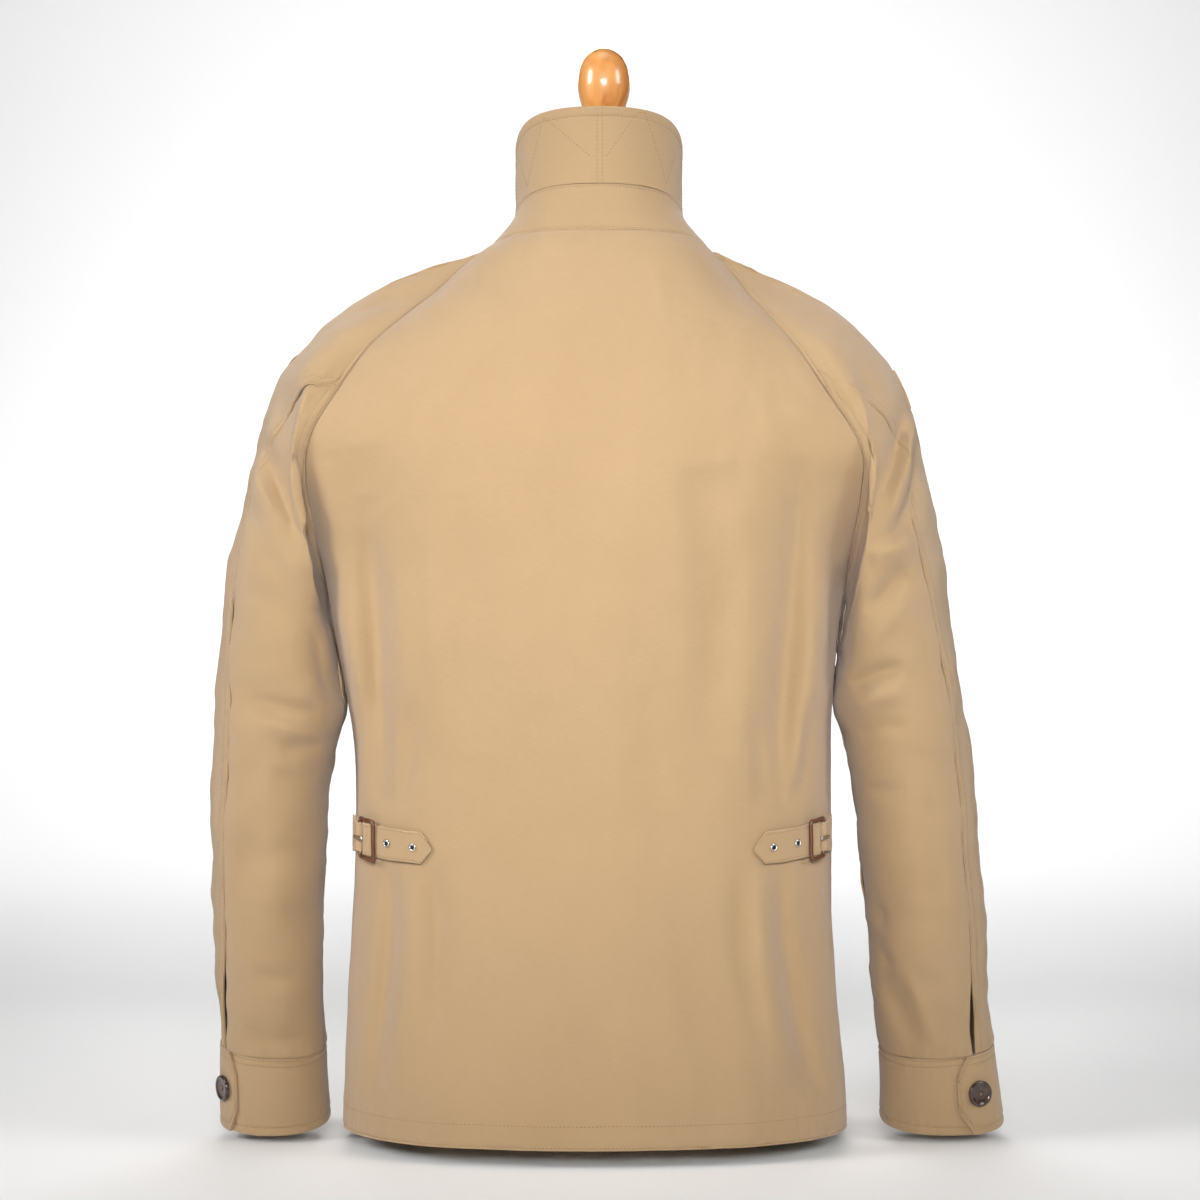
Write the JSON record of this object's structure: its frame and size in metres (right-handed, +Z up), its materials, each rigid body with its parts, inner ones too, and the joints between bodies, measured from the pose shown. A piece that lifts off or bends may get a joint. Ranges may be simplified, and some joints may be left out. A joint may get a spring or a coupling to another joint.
{
  "type": "casual jacket on a limbless dress form",
  "caption": "Closed zip-front raglan-sleeve casual jacket with a turned-up collar, waist adjusters and buttoned cuffs, on a limbless dress form.",
  "frame": {"origin": "middle of the flat underside of the dress form's base, below the form's own middle", "axes": "+Z up; the jacket's back faces -Y and its zipped front faces +Y; its left sleeve is on the -X side"},
  "size_m": [0.6116, 0.2518, 0.84],
  "materials": {
    "cotton": "closely woven matt cotton",
    "leather": "polished brown leather",
    "horn": "dark brown polished",
    "steel": "bright nickel",
    "tape": "woven tape",
    "linen": "plain pale cloth cover",
    "wood": "orange-brown varnish"
  },
  "bodies": {
    "jacket_on_form": {"adjuster_strap_left": "cotton", "adjuster_strap_right": "cotton", "adjuster_tab_left": "cotton", "adjuster_tab_right": "cotton", "back": "cotton", "buckle_left": "leather", "buckle_right": "leather", "button_left": "horn", "button_right": "horn", "collar_leaf": "cotton", "collar_stand": "cotton", "cuff_left": "cotton", "cuff_right": "cotton", "eyelet_left_1": "steel", "eyelet_left_2": "steel", "eyelet_right_1": "steel", "eyelet_right_2": "steel", "form_base": "wood", "form_finial": "wood", "form_neck_cap": "wood", "form_torso": "linen", "front_left": "cotton", "front_right": "cotton", "prong_left": "steel", "prong_right": "steel", "sleeve_top_left": "cotton", "sleeve_top_right": "cotton", "sleeve_under_left": "cotton", "sleeve_under_right": "cotton", "zip_chain": "steel", "zip_slider": "steel", "zip_tape": "tape"},
    "pull_tab": {"zip_pull": "steel"}
  },
  "joints": [
    {"name": "pull_tab_swing", "type": "hinge", "parent": "jacket_on_form", "child": "pull_tab", "pos_m": [-0.001, 0.09267, 0.61039], "axis": [1, 0, 0], "range_deg": [0, 150]}
  ]
}
